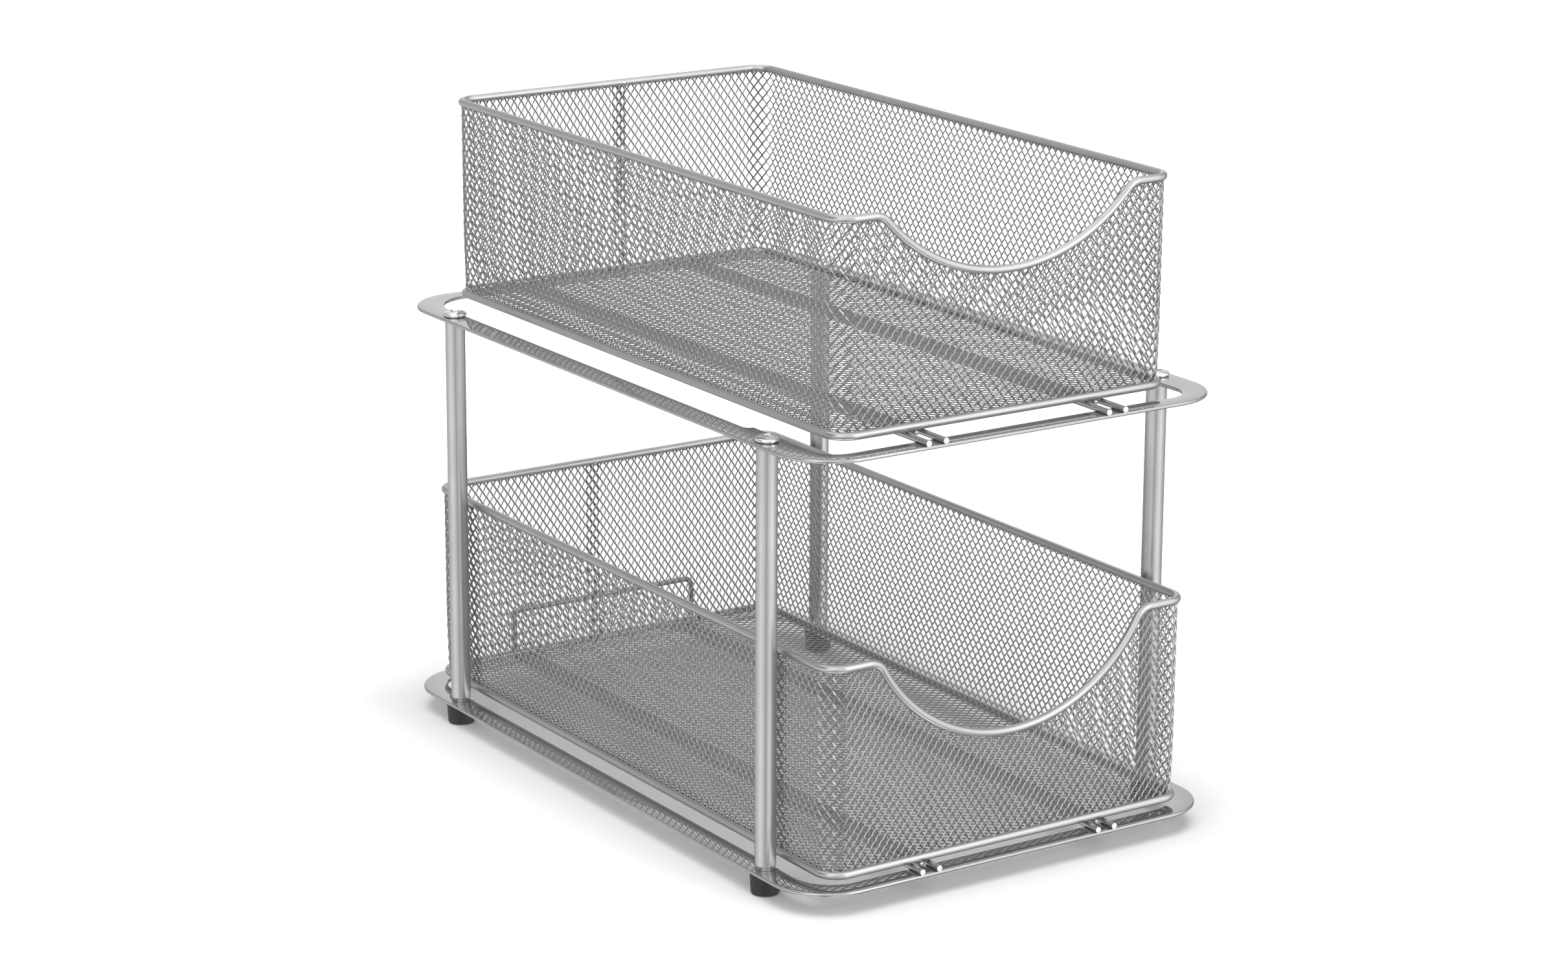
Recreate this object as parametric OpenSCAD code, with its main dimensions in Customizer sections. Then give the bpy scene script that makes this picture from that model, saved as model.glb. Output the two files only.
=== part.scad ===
// Two-tier pull-out basket organiser for a kitchen cabinet: a frame of two shelf plates on four posts,
// with a mesh basket that slides out on wire rails on each tier.
// Origin: on the floor under the middle of the frame. +Z is up, -Y is the front, where the rims dip.

/* [Shelf plates] */
// Outer width of both plates
plate_w = 302; // [280:1:360]
// Outer depth of both plates
plate_d = 481; // [440:1:560]
// Thickness of both plates
plate_t = 2.2; // [1.6:0.1:4]
// Outer corner radius of both plates
plate_r = 37; // [30:1:50]
// Width of the plates' side bands
side_band = 16; // [14:0.5:24]
// Width of the plates' front and rear bands
end_band = 13; // [10:0.5:18]
// Inner corner radius of the lower plate
lower_window_r = 25; // [10:1:40]
// Inner corner radius of the upper plate at the rear
upper_window_r = 29; // [10:1:40]
// Inner corner radius of the upper plate at the front
web_r = 16; // [6:1:30]
// Extra width of the upper plate's side bands at the front
web_step = 4; // [1:0.5:8]
// How far the extra width reaches behind the front posts
web_reach = 30; // [15:1:60]
// From the lower plate's top face to the upper plate's top face
tier_h = 258; // [200:1:340]

/* [Posts] */
// Outer diameter of the post tube
post_d = 12.7; // [10:0.1:16]
// Wall thickness of the post tube
post_wall = 1; // [0.8:0.1:1.5]
// From the plate's side edge to the post's axis
post_inset_x = 10; // [9:0.5:14]
// From the plate's front or rear edge to the post's axis
post_inset_y = 59.5; // [40:0.5:90]
// Height of the swaged lower end of the post
swage_h = 3; // [1:0.5:8]
// How much the swaged end narrows the post on each side
swage_in = 0.4; // [0.1:0.05:0.6]
// Length of the threaded plug in each end of the post
insert_l = 16; // [13:1:30]

/* [Screws and feet] */
// Thread diameter of the cap screws and of the foot studs
thread_d = 6; // [4:0.5:8]
// How far a screw or stud reaches past its plate
thread_l = 11; // [6:0.5:12]
// Head diameter of the cap screws
cap_d = 15; // [12:0.5:18]
// Head height of the cap screws
cap_h = 3.5; // [2.5:0.1:5]
// Height of the straight edge of the head
cap_edge = 1.3; // [0.8:0.1:2]
// Width across the flats of the hex socket
socket_w = 5; // [3:0.5:6]
// Depth of the hex socket
socket_h = 2; // [1:0.1:2.4]
// Height of the rubber feet
foot_h = 13; // [8:0.5:25]
// Foot diameter under the plate
foot_top_d = 18.6; // [16:0.1:24]
// Foot diameter near the floor
foot_bottom_d = 17.3; // [14:0.1:22]
// Edge radius at the bottom of the foot
foot_edge = 1.5; // [0.5:0.1:3]
// Diameter of the stud's flange in the foot
flange_d = 12; // [9:0.5:14]
// Thickness of the stud's flange
flange_h = 2; // [1:0.1:4]

/* [Rails] */
// Wire diameter of the rails and of the stop hoop
rail_d = 3.8; // [3:0.1:6]
// Distance between the middles of the two rail pairs
rail_gauge = 128.8; // [90:0.1:170]
// Centre distance of the two rails of a pair
rail_pitch = 12; // [9:0.5:18]
// Height of the stop hoop's centre line above the lower plate
stop_h = 34.5; // [20:0.5:60]
// Bend radius of the stop hoop's wire
stop_bend = 5.7; // [4:0.1:9]

/* [Baskets] */
// Wire diameter of the rims and of the base rings
hoop_d = 5; // [4:0.1:7]
// From a base ring's centre line up to its rim's centre line
basket_h = 125; // [100:1:150]
// Corner radius of the basket wires
basket_r = 13; // [8:0.5:25]
// How much narrower a base ring is than its rim on each side
taper = 0.5; // [0:0.1:5]
// Thickness of the mesh
mesh_t = 0.6; // [0.4:0.1:1.2]
// Wire diameter of the runners
runner_d = 3.4; // [2.5:0.1:4.5]
// How far a runner reaches past the base ring's centre line
runner_reach = 2.5; // [0:0.1:6]

/* [Mesh lattice] */
// Cells along each long wall and along the floor
lattice_long = 12; // [6:1:12]
// Cells along each short wall and across the floor
lattice_short = 6; // [4:1:7]
// Staggered rows of cells up a wall
lattice_rows = 5; // [3:2:5]
// Width of the mesh left between two cells
lattice_bar = 4; // [3:0.5:7]

/* [Upper basket] */
// Side gap between the upper rim and the posts' inner faces, seen from above
upper_side_gap = 14.1; // [6:0.1:30]
// From the upper rim to the plate's front or rear edge
upper_end_gap = 20; // [8:0.5:40]
// Depth of the dip in the upper rim
upper_dip = 41; // [20:1:60]
// Radius of the dip in the upper rim
upper_dip_r = 116.5; // [90:0.5:120]

/* [Lower basket] */
// Side gap between the lower rim and the posts
lower_side_gap = 3; // [2:0.1:30]
// Gap between the lower rim and the stop hoop
lower_stop_gap = 0.6; // [0.4:0.1:20]
// Depth of the dip in the lower rim
lower_dip = 58.5; // [20:0.5:60]
// Radius of the dip in the lower rim
lower_dip_r = 106.5; // [90:0.5:107]

/* [Fits] */
// How deep a weld sinks one piece into another
weld = 0.3; // [0.1:0.05:0.5]
// Running gap between a base ring and the rails under it
ride_gap = 0.3; // [0.3:0.05:1]
// Radius of the bends between a dip and the straight rim
dip_bend = 12; // [8:0.5:14]
// Radial gap around the threads and the plugs
thread_gap = 0.05; // [0.03:0.01:0.1]
// Radial gap around a screw in a plate's hole
hole_gap = 0.3; // [0.2:0.05:0.6]

/* [Hidden] */
$fn = 64;
HULL_FN = 32;     // segments of a circle inside a hull
BEND_LAP = 1;     // degrees by which a small bend laps the wires it joins
BEND_SWELL = 0.02; // extra wire diameter of a small bend, so that it encloses their ends
CUT = 1;          // how far a cutter runs past what it cuts
DIP_BAR = 0.85;   // share of the lattice's bar that is left along a dip
CELL_OVER_DIP = 0.3; // how far above a dip's edge a cell's middle may lie, as a share of its half height
STEEL = [0.72, 0.73, 0.74];
BRIGHT = [0.86, 0.86, 0.87];
MESH = [0.62, 0.63, 0.64];
RUBBER = [0.06, 0.06, 0.06];

lower_top = foot_h + plate_t;               // top face of the lower plate
upper_top = lower_top + tier_h;             // top face of the upper plate
post_x = plate_w / 2 - post_inset_x;
post_y = plate_d / 2 - post_inset_y;
post_h = tier_h - plate_t;
window_x = plate_w / 2 - side_band;         // half width of the plates' windows
window_y = plate_d / 2 - end_band;          // half depth of the plates' windows
pair_x = rail_gauge / 2;                    // middle of a rail pair
outer_rail_x = pair_x + rail_pitch / 2;
inner_rail_x = pair_x - rail_pitch / 2;
rail_z = rail_d / 2 - weld;                 // rail centre above its plate's top face
stop_y = plate_d / 2 - end_band / 2;        // the stop hoop stands on the middle of the rear band
ring_z = rail_z + rail_d / 2 + ride_gap + hoop_d / 2;   // base ring centre above its plate's top face
runner_z = ring_z - hoop_d / 2 + weld - runner_d / 2;   // runner centre above its plate's top face
sheet_in = hoop_d / 2 - weld;               // where a sheet ends, from the centre of its wire
upper_w = 2 * (post_x - post_d / 2 - upper_side_gap) - hoop_d;   // rim centre lines
upper_d = plate_d - 2 * upper_end_gap - hoop_d;
lower_w = 2 * (post_x - post_d / 2 - lower_side_gap) - hoop_d;
lower_d = 2 * (stop_y - rail_d / 2 - lower_stop_gap) - hoop_d;
insert_d = post_d - 2 * post_wall - 2 * thread_gap;

// Half the width of the dip's wire between the two bends, and the angle each bend turns through
function dip_x(dip, r) = sqrt(pow(r + dip_bend, 2) - pow(r - dip + dip_bend, 2));
function dip_angle(dip, r) = acos((r - dip + dip_bend) / (r + dip_bend));

// Height of the dipped rim's centre line at a distance x from its middle, from the straight rim down
function dip_line(x, dip, r) =
    x < dip_x(dip, r) * r / (r + dip_bend) ? r - dip - sqrt(r * r - x * x)
    : x < dip_x(dip, r) ? sqrt(pow(dip_bend, 2) - pow(dip_x(dip, r) - x, 2)) - dip_bend
    : 0;

// A rectangle with round corners, centred on the origin
module round_rect(w, d, r) {
    square([w - 2 * r, d], center = true);
    square([w, d - 2 * r], center = true);
    for (x = [-1, 1], y = [-1, 1]) translate([x * (w / 2 - r), y * (d / 2 - r)]) circle(r);
}

// Repeats its children at the four posts
module at_posts() {
    for (x = [-1, 1], y = [-1, 1]) translate([x * post_x, y * post_y, 0]) children();
}

// Straight wires that start at the origin and run along +X or +Y
module wire_x(l, d) rotate([0, 90, 0]) cylinder(d = d, h = l);
module wire_y(l, d) rotate([-90, 0, 0]) cylinder(d = d, h = l);

// A bent wire in the XY plane, from the +X axis counter-clockwise
module wire_bend(r, sweep, d) rotate_extrude(angle = sweep) translate([r, 0]) circle(d = d);

// A shelf plate's blank, with its outer shape and its screw holes
module plate_blank() {
    difference() {
        linear_extrude(plate_t) round_rect(plate_w, plate_d, plate_r);
        at_posts() translate([0, 0, -CUT]) cylinder(d = thread_d + 2 * hole_gap, h = plate_t + 2 * CUT);
    }
}

module lower_plate() {
    color(STEEL) translate([0, 0, foot_h]) difference() {
        plate_blank();
        translate([0, 0, -CUT]) linear_extrude(plate_t + 2 * CUT)
            round_rect(2 * window_x, 2 * window_y, lower_window_r);
    }
}

// The upper plate's window is narrower at the front, where the side bands widen round the posts
module upper_plate() {
    step_y = -post_y + web_reach;
    color(STEEL) translate([0, 0, upper_top - plate_t]) difference() {
        plate_blank();
        translate([0, 0, -CUT]) linear_extrude(plate_t + 2 * CUT) {
            intersection() {
                round_rect(2 * window_x, 2 * window_y, upper_window_r);
                translate([-window_x, step_y + web_step]) square([2 * window_x, window_y - step_y]);
            }
            round_rect(2 * (window_x - web_step), 2 * window_y, web_r);
            for (x = [-1, 1]) translate([x * (window_x - web_step), step_y + web_step]) circle(web_step);
        }
    }
}

// A post tube with a narrowed lower end, standing on the lower plate
module post(x, y) {
    color(STEEL) translate([x * post_x, y * post_y, lower_top]) difference() {
        union() {
            cylinder(d1 = post_d - 2 * swage_in, d2 = post_d, h = swage_h);
            translate([0, 0, swage_h]) cylinder(d = post_d, h = post_h - swage_h);
        }
        translate([0, 0, -CUT]) cylinder(d = post_d - 2 * post_wall, h = post_h + 2 * CUT);
    }
}

// Threaded plugs, flush with both ends of every post
module post_inserts() {
    color(BRIGHT) at_posts() for (z = [lower_top, lower_top + post_h - insert_l]) translate([0, 0, z])
        difference() {
            cylinder(d = insert_d, h = insert_l);
            translate([0, 0, -CUT]) cylinder(d = thread_d + 2 * thread_gap, h = insert_l + 2 * CUT);
        }
}

// Domed hex socket screws that hold the upper plate on the posts
module cap_screws() {
    rise = cap_h - cap_edge;
    dome_r = (pow(cap_d / 2, 2) + pow(rise, 2)) / (2 * rise);
    color(BRIGHT) at_posts() translate([0, 0, upper_top]) {
        difference() {
            intersection() {
                cylinder(d = cap_d, h = cap_h);
                translate([0, 0, cap_h - dome_r]) sphere(dome_r);
            }
            translate([0, 0, cap_h - socket_h]) cylinder(d = socket_w / cos(30), h = socket_h + CUT, $fn = 6);
        }
        translate([0, 0, -plate_t - thread_l]) cylinder(d = thread_d, h = plate_t + thread_l);
    }
}

// Flanged studs moulded into the feet, screwed into the posts through the lower plate
module foot_studs() {
    color(BRIGHT) at_posts() {
        translate([0, 0, foot_h - flange_h]) cylinder(d = flange_d, h = flange_h);
        translate([0, 0, foot_h]) cylinder(d = thread_d, h = plate_t + thread_l);
    }
}

// A tapered rubber foot with a rounded lower edge and a pocket for the stud's flange
module foot(x, y) {
    bottom_r = foot_bottom_d / 2;
    color(RUBBER) translate([x * post_x, y * post_y, 0]) difference() {
        rotate_extrude() {
            polygon([[0, 0], [bottom_r - foot_edge, 0], [bottom_r, foot_edge], [foot_top_d / 2, foot_h],
                [0, foot_h]]);
            translate([bottom_r - foot_edge, foot_edge]) circle(foot_edge);
        }
        translate([0, 0, foot_h - flange_h]) cylinder(d = flange_d + 2 * thread_gap, h = flange_h + CUT);
    }
}

// A straight rail along the whole depth of a plate whose top face is at height z
module rail(x, z) {
    color(BRIGHT) translate([x, -plate_d / 2, z + rail_z]) wire_y(plate_d, rail_d);
}

// The lower tier's outer rails, bent up at the rear and joined by the stop hoop, are one wire
module lower_outer_rails_and_stop() {
    color(BRIGHT) translate([0, 0, lower_top]) {
        for (x = [0, 1]) mirror([x, 0, 0]) {
            translate([outer_rail_x, -plate_d / 2, rail_z]) wire_y(plate_d / 2 + stop_y - stop_bend, rail_d);
            translate([outer_rail_x, stop_y - stop_bend, rail_z + stop_bend]) rotate([90, 0, 90])
                rotate([0, 0, -90]) wire_bend(stop_bend, 90, rail_d);
            translate([outer_rail_x, stop_y, rail_z + stop_bend])
                cylinder(d = rail_d, h = stop_h - rail_z - 2 * stop_bend);
            translate([outer_rail_x - stop_bend, stop_y, stop_h - stop_bend]) rotate([90, 0, 0])
                wire_bend(stop_bend, 90, rail_d);
        }
        translate([stop_bend - outer_rail_x, stop_y, stop_h]) wire_x(2 * (outer_rail_x - stop_bend), rail_d);
    }
}

// Corners, long sides and rear side of a basket's wire, with w and d across its centre line
module hoop_without_front(w, d) {
    for (x = [0, 1]) mirror([x, 0, 0]) {
        for (y = [0, 1]) mirror([0, y, 0])
            translate([w / 2 - basket_r, d / 2 - basket_r, 0]) wire_bend(basket_r, 90, hoop_d);
        translate([w / 2, basket_r - d / 2, 0]) wire_y(d - 2 * basket_r, hoop_d);
    }
    translate([basket_r - w / 2, d / 2, 0]) wire_x(w - 2 * basket_r, hoop_d);
}

module base_ring(w, d, z) {
    color(STEEL) translate([0, 0, z + ring_z]) {
        hoop_without_front(w - 2 * taper, d);
        translate([basket_r - w / 2 + taper, -d / 2, 0]) wire_x(w - 2 * taper - 2 * basket_r, hoop_d);
    }
}

// The rim's front dips in one large arc between two small bends
module rim(w, d, dip, r, z) {
    x_bend = dip_x(dip, r);
    angle = dip_angle(dip, r);
    color(STEEL) translate([0, 0, z + ring_z + basket_h]) {
        hoop_without_front(w, d);
        translate([0, -d / 2, 0]) {
            for (x = [0, 1]) mirror([x, 0, 0]) {
                translate([basket_r - w / 2, 0, 0]) wire_x(w / 2 - basket_r - x_bend, hoop_d);
                translate([x_bend, 0, -dip_bend]) rotate([90, 0, 0]) rotate([0, 0, 90 - BEND_LAP])
                    wire_bend(dip_bend, angle + 2 * BEND_LAP, hoop_d + BEND_SWELL);
            }
            translate([0, 0, r - dip]) rotate([90, 0, 0]) rotate([0, 0, -90 - angle])
                wire_bend(r, 2 * angle, hoop_d);
        }
    }
}

// Thin slice of a basket's outline at height h above its base ring, grown by a margin
module wall_slice(w, d, h, grow) {
    width = w - 2 * taper * (1 - h / basket_h) + 2 * grow;
    translate([0, 0, h]) linear_extrude(0.001)
        round_rect(width, d + 2 * grow, basket_r + grow, $fn = HULL_FN);
}

// The region above the dip in front view, down to a distance grow from the rim's centre line. The rim's
// straight part is at height 0
module dip_cut(dip, r, grow) {
    x_bend = dip_x(dip, r);
    difference() {
        union() {
            translate([0, r - dip]) circle(r + grow);
            polygon([[0, r - dip], [x_bend, -dip_bend], [x_bend, r], [-x_bend, r], [-x_bend, -dip_bend]]);
        }
        if (dip_bend > grow) for (x = [-1, 1]) translate([x * x_bend, -dip_bend]) circle(dip_bend - grow);
    }
}

// Staggered rows of diamond cells that fill a field of width w and height h, centred on the origin, with half
// cells along its borders. A cell of which a dip would leave only a small remnant is left out
module lattice(w, h, columns, rows, dip = 0, r = 0) {
    a = w / floor(columns) / 2;      // half width and half height of a cell with its share of the bars
    b = h / (rows + 1);
    keep = 1 - lattice_bar / 2 * sqrt(a * a + b * b) / (a * b);
    intersection() {
        square([w, h], center = true);
        for (row = [-1 : rows]) {
            cells = floor(columns) + abs(row % 2);
            y = (row - (rows - 1) / 2) * b;
            for (i = [0 : cells - 1]) {
                x = (2 * i - cells + 1) * a;
                if (dip == 0 || y - b * CELL_OVER_DIP < h / 2 + dip_line(abs(x), dip, r))
                    translate([x, y])
                        polygon([[a * keep, 0], [0, b * keep], [-a * keep, 0], [0, -b * keep]]);
            }
        }
    }
}

// One strip of mesh that runs round the basket from its base ring to its rim. Its cells reach round the
// corners, up to an upright bar in the middle of each
module wall_mesh(w, d, dip, r, z) {
    low = sheet_in;
    high = basket_h - sheet_in;
    mid = basket_h / 2;
    field_h = basket_h - 2 * sheet_in - 2 * lattice_bar;
    corner_turn = 45 - lattice_bar / 2 / basket_r * 180 / PI;   // how far the cells reach round a corner
    corner_in = basket_r * (1 - sin(corner_turn));
    corner_depth = basket_r * (1 - cos(corner_turn)) + 2 * mesh_t;
    color(MESH) translate([0, 0, z + ring_z]) difference() {
        hull() {
            wall_slice(w, d, low, mesh_t / 2);
            wall_slice(w, d, high, mesh_t / 2);
        }
        hull() {
            wall_slice(w, d, low - CUT, -mesh_t / 2);
            wall_slice(w, d, high + CUT, -mesh_t / 2);
        }
        translate([0, 2 * mesh_t - d / 2, basket_h]) rotate([90, 0, 0]) linear_extrude(4 * mesh_t)
            dip_cut(dip, r, sheet_in);
        translate([0, -d / 2, mid]) rotate([90, 0, 0]) linear_extrude(2 * corner_depth, center = true)
            difference() {
                lattice(w - 2 * taper - 2 * corner_in, field_h, lattice_short, lattice_rows, dip, r);
                translate([0, mid]) dip_cut(dip, r, sheet_in + DIP_BAR * lattice_bar);
            }
        translate([0, d / 2, mid]) rotate([90, 0, 0]) linear_extrude(2 * corner_depth, center = true)
            lattice(w - 2 * taper - 2 * corner_in, field_h, lattice_short, lattice_rows);
        translate([-w / 2 - CUT, 0, mid]) rotate([90, 0, 90]) linear_extrude(w + 2 * CUT)
            lattice(d - 2 * corner_in, field_h, lattice_long, lattice_rows);
    }
}

module floor_mesh(w, d, z) {
    floor_w = w - 2 * taper - 2 * sheet_in;
    floor_d = d - 2 * sheet_in;
    floor_r = basket_r - sheet_in;
    field_w = floor_w - 2 * lattice_bar;
    field_d = floor_d - 2 * lattice_bar;
    color(MESH) translate([0, 0, z + ring_z - mesh_t / 2]) linear_extrude(mesh_t) difference() {
        round_rect(floor_w, floor_d, floor_r);
        intersection() {
            round_rect(field_w, field_d, max(floor_r - lattice_bar, CUT));
            lattice(field_w, field_d, lattice_short, 2 * lattice_long - 1);
        }
    }
}

// A round-ended wire under the basket, between the two rails of a pair
module runner(x, d, z) {
    l = d + 2 * runner_reach - runner_d;
    color(BRIGHT) translate([x * pair_x, -l / 2, z + runner_z]) {
        wire_y(l, runner_d);
        for (y = [0, l]) translate([0, y, 0]) sphere(d = runner_d);
    }
}

lower_plate();
upper_plate();
post(-1, -1);  // post_front_left
post(1, -1);  // post_front_right
post(-1, 1);  // post_rear_left
post(1, 1);  // post_rear_right
post_inserts();
cap_screws();
foot_studs();
foot(-1, -1);  // foot_front_left
foot(1, -1);  // foot_front_right
foot(-1, 1);  // foot_rear_left
foot(1, 1);  // foot_rear_right
rail(-inner_rail_x, lower_top);  // lower_rail_left
rail(inner_rail_x, lower_top);  // lower_rail_right
lower_outer_rails_and_stop();
rail(-outer_rail_x, upper_top);  // upper_rail_left_outer
rail(-inner_rail_x, upper_top);  // upper_rail_left_inner
rail(inner_rail_x, upper_top);  // upper_rail_right_inner
rail(outer_rail_x, upper_top);  // upper_rail_right_outer
rim(upper_w, upper_d, upper_dip, upper_dip_r, upper_top);  // upper_rim
base_ring(upper_w, upper_d, upper_top);  // upper_base_ring
wall_mesh(upper_w, upper_d, upper_dip, upper_dip_r, upper_top);  // upper_wall_mesh
floor_mesh(upper_w, upper_d, upper_top);  // upper_floor_mesh
runner(-1, upper_d, upper_top);  // upper_runner_left
runner(1, upper_d, upper_top);  // upper_runner_right
rim(lower_w, lower_d, lower_dip, lower_dip_r, lower_top);  // lower_rim
base_ring(lower_w, lower_d, lower_top);  // lower_base_ring
wall_mesh(lower_w, lower_d, lower_dip, lower_dip_r, lower_top);  // lower_wall_mesh
floor_mesh(lower_w, lower_d, lower_top);  // lower_floor_mesh
runner(-1, lower_d, lower_top);  // lower_runner_left
runner(1, lower_d, lower_top);  // lower_runner_right
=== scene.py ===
import bpy
import numpy as np
from mathutils import Matrix, Vector


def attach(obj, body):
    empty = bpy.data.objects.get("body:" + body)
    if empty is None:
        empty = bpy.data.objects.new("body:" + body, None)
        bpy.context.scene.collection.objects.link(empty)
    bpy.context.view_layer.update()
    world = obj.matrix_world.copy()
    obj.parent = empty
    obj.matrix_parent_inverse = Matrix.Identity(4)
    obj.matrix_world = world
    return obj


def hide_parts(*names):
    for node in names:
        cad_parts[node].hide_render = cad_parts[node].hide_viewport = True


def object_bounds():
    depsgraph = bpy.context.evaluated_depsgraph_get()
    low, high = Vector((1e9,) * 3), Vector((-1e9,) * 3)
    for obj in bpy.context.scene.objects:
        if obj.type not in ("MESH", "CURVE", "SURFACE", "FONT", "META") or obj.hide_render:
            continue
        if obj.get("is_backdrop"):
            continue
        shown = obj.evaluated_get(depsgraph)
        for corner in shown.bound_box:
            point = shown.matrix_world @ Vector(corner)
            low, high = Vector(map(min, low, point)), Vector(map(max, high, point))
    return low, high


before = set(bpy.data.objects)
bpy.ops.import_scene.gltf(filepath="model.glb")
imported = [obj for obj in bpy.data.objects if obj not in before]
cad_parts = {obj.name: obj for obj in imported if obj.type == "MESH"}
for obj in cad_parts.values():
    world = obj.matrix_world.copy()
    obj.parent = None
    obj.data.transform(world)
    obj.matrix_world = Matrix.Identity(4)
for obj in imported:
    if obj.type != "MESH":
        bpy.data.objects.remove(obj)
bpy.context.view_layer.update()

# The view: a camera with a long lens at the front left, a little above the baskets' rims. A small shift of the
# lens keeps the posts nearly upright in the picture.
LENS_MM, SENSOR_MM, LENS_SHIFT = 93.303, 36.0, -0.04
FARTHEST = 60.0
CAMERA_PLACE = (-1.36582, -2.03553, 0.87582)
CAMERA_RIGHT = (0.8327807, -0.5535806, 0.0049905)
CAMERA_UP = (0.1389777, 0.2177805, 0.9660522)
CAMERA_BACK = (-0.5358746, -0.803816, 0.2582987)

camera = bpy.data.objects.new("camera", bpy.data.cameras.new("camera"))
camera.data.lens = LENS_MM
camera.data.sensor_width = SENSOR_MM
camera.data.shift_y = LENS_SHIFT
camera.data.clip_end = FARTHEST
turn = Matrix((CAMERA_RIGHT, CAMERA_UP, CAMERA_BACK)).transposed()
camera.matrix_world = Matrix.Translation(CAMERA_PLACE) @ turn.to_4x4()
bpy.context.scene.collection.objects.link(camera)
bpy.context.scene.camera = camera
bpy.context.scene.view_settings.view_transform = "Standard"


# The studio lamps: a large soft box overhead and a smaller one at each side. The metal mirrors only the right one;
# the rest of what it mirrors comes from the room.
MIDDLE = (0.0, 0.0, 0.2)
OVERHEAD_SIZE, OVERHEAD_POWER = (2.2, 2.2), 42.0
SIDE_SIZE, SIDE_POWER = (0.9, 1.8), 12.0


def soft_box(name, place, size, power):
    """A rectangular lamp of the given size at place that faces the middle of the object."""
    lamp = bpy.data.objects.new(name, bpy.data.lights.new(name, "AREA"))
    lamp.data.shape = "RECTANGLE"
    lamp.data.size, lamp.data.size_y = size
    lamp.data.energy = power
    lamp.location = place
    lamp.rotation_mode = "QUATERNION"
    lamp.rotation_quaternion = (Vector(MIDDLE) - Vector(place)).to_track_quat("-Z", "Y")
    bpy.context.scene.collection.objects.link(lamp)
    return lamp


overhead_box = soft_box("overhead_box", (-0.3, -0.4, 2.4), OVERHEAD_SIZE, OVERHEAD_POWER)
left_box = soft_box("left_box", (-2.3, -0.9, 1.2), SIDE_SIZE, SIDE_POWER)
soft_box("right_box", (0.9, -2.5, 1.2), SIDE_SIZE, SIDE_POWER)
overhead_box.visible_glossy = left_box.visible_glossy = False


# The table: a wide matt white top that takes the object's shadow. A glow that only the camera sees, and that grows
# with the distance from the object, carries it over into the white backdrop. Being weakest under and beside the
# object, the glow also paints shade there.
TABLE_HALF = 14.0
TABLE_WHITE, TABLE_ROUGHNESS = 0.93, 0.9
UNDER_OBJECT = (0.13, 0.22, 0.0)
# Glow levels over the distance in metres from under the object: the low levels close to it are painted shade.
NEAR_GLOW = ((0.0, 0.05), (0.10, 0.23), (0.35, 0.46), (1.0, 0.66))
FAR_GLOW, FAR_SCALE = ((0.15, 0.0), (0.6, 0.6)), 0.3


def new_material(name):
    """An empty node material with its Principled shader, as (material, nodes, links, shader)."""
    material = bpy.data.materials.new(name)
    material.use_nodes = True
    tree = material.node_tree
    return material, tree.nodes, tree.links, tree.nodes["Principled BSDF"]


def feed(links, socket, value):
    """Links the input socket to value where that is an output socket, or else sets it to value."""
    if isinstance(value, bpy.types.NodeSocket):
        links.new(value, socket)
    else:
        socket.default_value = value


def linked_math(nodes, links, operation, *values):
    """A Math node whose inputs are the given numbers or output sockets, as its output socket."""
    node = nodes.new("ShaderNodeMath")
    node.operation = operation
    for socket, value in zip(node.inputs, values):
        feed(links, socket, value)
    return node.outputs[0]


def ramp(nodes, links, value, stops):
    """A smooth grey colour ramp over value with the stops (place, level), as its colour socket."""
    node = nodes.new("ShaderNodeValToRGB")
    elements = node.color_ramp.elements
    node.color_ramp.interpolation = "EASE"
    while len(elements) < len(stops):
        elements.new(0.5)
    for element, (place, level) in zip(elements, stops):
        element.position = place
        element.color = (level, level, level, 1)
    links.new(value, node.inputs[0])
    return node.outputs["Color"]


table_mesh = bpy.data.meshes.new("table_top")
table_corners = [(x * TABLE_HALF, y * TABLE_HALF, 0) for x, y in ((-1, -1), (1, -1), (1, 1), (-1, 1))]
table_mesh.from_pydata(table_corners, [], [(0, 1, 2, 3)])
table_top = bpy.data.objects.new("table_top", table_mesh)
table_top.visible_glossy = False
bpy.context.scene.collection.objects.link(table_top)
table_top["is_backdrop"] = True

table_white, nodes, links, shader = new_material("table_white")
shader.inputs["Base Color"].default_value = (TABLE_WHITE, TABLE_WHITE, TABLE_WHITE, 1.0)
shader.inputs["Roughness"].default_value = TABLE_ROUGHNESS
shader.inputs["Specular IOR Level"].default_value = 0.0
shader.inputs["Emission Color"].default_value = (1, 1, 1, 1)
from_object = nodes.new("ShaderNodeTexCoord").outputs["Object"]
outside = (("ABSOLUTE", None), ("SUBTRACT", UNDER_OBJECT), ("MAXIMUM", (0.0, 0.0, 0.0)), ("LENGTH", None))
for operation, value in outside:
    step = nodes.new("ShaderNodeVectorMath")
    step.operation = operation
    links.new(from_object, step.inputs[0])
    if value:
        step.inputs[1].default_value = value
    from_object = step.outputs["Value" if operation == "LENGTH" else "Vector"]
# The glow is low under and beside the object, which paints shade on the table there.
near_glow = ramp(nodes, links, from_object, NEAR_GLOW)
far_glow = ramp(nodes, links, linked_math(nodes, links, "MULTIPLY", from_object, FAR_SCALE), FAR_GLOW)
both_glows = linked_math(nodes, links, "ADD", near_glow, far_glow)
camera_sees = nodes.new("ShaderNodeLightPath").outputs["Is Camera Ray"]
links.new(linked_math(nodes, links, "MULTIPLY", camera_sees, both_glows), shader.inputs["Emission Strength"])
table_mesh.materials.append(table_white)


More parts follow.
